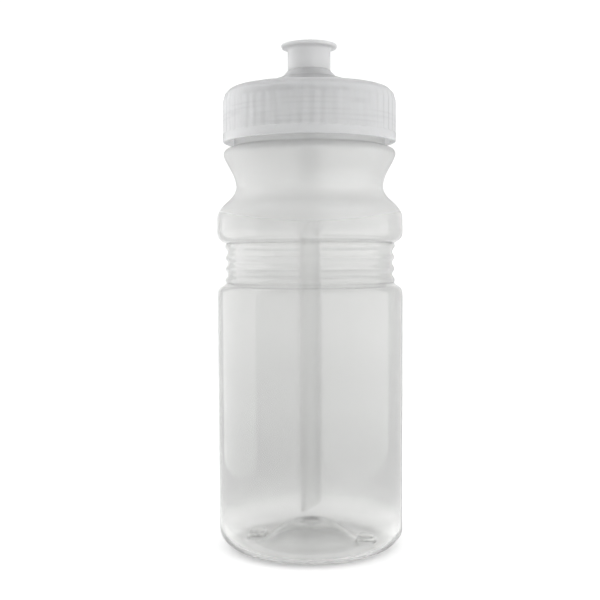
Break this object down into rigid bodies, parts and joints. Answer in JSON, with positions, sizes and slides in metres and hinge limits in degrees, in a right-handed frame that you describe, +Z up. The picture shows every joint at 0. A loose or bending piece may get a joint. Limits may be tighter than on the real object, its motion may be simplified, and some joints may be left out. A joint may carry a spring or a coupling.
{
  "type": "sports water bottle",
  "caption": "Clear squeeze-grip bottle for a bicycle cage, with a ribbed screw cap, push-pull drinking spout and a straw.",
  "frame": {"origin": "centre of the standing ring, on the surface that the bottle stands on", "axes": "+Z up along the bottle's axis, -Y towards the front"},
  "size_m": [0.073, 0.073, 0.1975],
  "materials": {
    "clear_shell": "clear blown plastic, slightly hazy, glossy",
    "cap_plastic": "milky natural moulded plastic, satin",
    "seal_elastomer": "milky elastomer, matt",
    "spout_plastic": "milky moulded plastic, satin",
    "straw_plastic": "translucent extruded plastic, slightly glossy"
  },
  "bodies": {
    "bottle": {"bottle": "clear_shell"},
    "seal": {"cap_seal": "seal_elastomer"},
    "cap": {"screw_cap": "cap_plastic", "straw": "straw_plastic"},
    "spout": {"push_pull_spout": "spout_plastic"}
  },
  "joints": [
    {"name": "cap_lift", "type": "slide", "parent": "bottle", "child": "seal", "axis": [0, 0, 1], "range_m": [0, 0.0053]},
    {"name": "cap_turn", "type": "hinge", "parent": "seal", "child": "cap", "pos_m": [0, 0, 0.168], "axis": [0, 0, 1], "range_deg": [0, 450]},
    {"name": "spout_pull", "type": "slide", "parent": "cap", "child": "spout", "axis": [0, 0, 1], "range_m": [0, 0.0055]}
  ],
  "couplings": [
    {"joint": "cap_lift", "follows": "cap_turn", "m_per_rad": 0.00067322}
  ]
}
